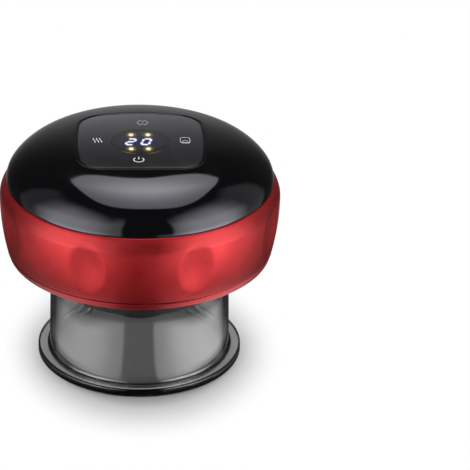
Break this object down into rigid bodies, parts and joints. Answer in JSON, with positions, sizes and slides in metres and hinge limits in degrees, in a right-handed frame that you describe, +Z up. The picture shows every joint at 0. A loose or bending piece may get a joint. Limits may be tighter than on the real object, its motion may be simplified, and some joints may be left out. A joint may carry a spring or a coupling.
{
  "type": "electric cupping massager",
  "caption": "Mushroom-shaped electric cupping massager: touch panel on a domed top, scooped side ring, and a clear pull-off suction cup round a warming head, with a vacuum pump inside.",
  "frame": {"origin": "centre of the cup's mouth, on the plane of the rim that it stands on", "axes": "+Z up along the body's axis from the cup to the dome, -Y towards the user who faces the panel, +Y towards the charging socket, +X to that user's right"},
  "size_m": [0.1, 0.1, 0.0841],
  "materials": {
    "black_gloss": "high gloss black",
    "panel_gloss": "black glossy panel, printed from behind",
    "red_satin": "deep red metallic satin",
    "screw_steel": "bright zinc",
    "clear_glass": "clear",
    "rubber": "matte",
    "chamber_black": "fine satin",
    "filter_felt": "felt",
    "warm_metal": "satin",
    "heater_film": "amber film",
    "magnet": "dull grey",
    "circuit_board": "green solder mask",
    "light_amber": "amber lens",
    "digit_white": "white segments",
    "inner_black": "moulded",
    "pad_foam": "conductive foam",
    "plain_steel": "plain",
    "cell_wrap": "shrink wrap",
    "nickel": "bright strip",
    "white_plastic": "moulded",
    "brass": "plain",
    "copper_wire": "enamelled wire",
    "hose_silicone": "translucent"
  },
  "bodies": {
    "cup": {"cup": "clear_glass"},
    "housing": {"top_cover": "black_gloss", "control_panel": "panel_gloss", "side_ring": "red_satin", "bottom_cover": "red_satin", "case_screws": "screw_steel", "insert_screws": "screw_steel", "small_screws": "screw_steel", "strap_screws": "screw_steel", "pump_screws": "screw_steel", "light_window": "clear_glass", "cup_seal": "rubber", "check_flaps": "rubber", "diaphragm": "rubber", "pump_pad": "rubber", "chamber_insert": "chamber_black", "suction_filter": "filter_felt", "head_body": "chamber_black", "warm_plate": "warm_metal", "heater_disc": "heater_film", "head_magnet": "magnet", "motor_magnets": "magnet", "light_board": "circuit_board", "main_board": "circuit_board", "charge_board": "circuit_board", "lights": "light_amber", "level_lights": "light_amber", "digit_block": "digit_white", "control_chip": "inner_black", "display_frame": "inner_black", "key_pads": "pad_foam", "usb_socket": "plain_steel", "motor_can": "plain_steel", "valve_yoke": "plain_steel", "valve_spring": "plain_steel", "battery_strap": "plain_steel", "motor_strap": "plain_steel", "battery_cell": "cell_wrap", "battery_tabs": "nickel", "pump_body": "inner_black", "valve_plate": "inner_black", "pump_cover": "inner_black", "motor_end_cap": "inner_black", "valve_bobbin": "inner_black", "valve_nozzle": "inner_black", "hose_tee": "inner_black", "motor_bushes": "brass", "motor_brushes": "brass", "valve_winding": "copper_wire", "suction_hose": "hose_silicone", "valve_hose": "hose_silicone", "pump_hose": "hose_silicone"},
    "rotor": {"motor_shaft": "plain_steel", "armature": "plain_steel", "armature_coils": "copper_wire", "commutator": "brass", "crank_hub": "white_plastic", "crank_pin": "plain_steel"},
    "wobbler": {"wobble_plate": "white_plastic"},
    "plunger": {"valve_plunger": "plain_steel"}
  },
  "joints": [
    {"name": "housing_lift", "type": "slide", "parent": "cup", "child": "housing", "axis": [0, 0, 1], "range_m": [0, 0.026]},
    {"name": "motor_spin", "type": "hinge", "parent": "housing", "child": "rotor", "pos_m": [-0.006, -0.003, 0.0569], "axis": [1, 0, 0], "continuous": true},
    {"name": "wobble_turn", "type": "hinge", "parent": "rotor", "child": "wobbler", "pos_m": [-0.0174, -0.003, 0.0569], "axis": [0.9925, 0, 0.1219], "continuous": true, "deforming": ["diaphragm"]},
    {"name": "valve_open", "type": "slide", "parent": "housing", "child": "plunger", "axis": [-1, 0, 0], "range_m": [0, 0.0015], "stiffness_N_per_m": 300, "springref_m": -0.001, "deforming": ["valve_spring"]}
  ],
  "couplings": [
    {"joint": "wobble_turn", "follows": "motor_spin", "ratio": -1}
  ]
}
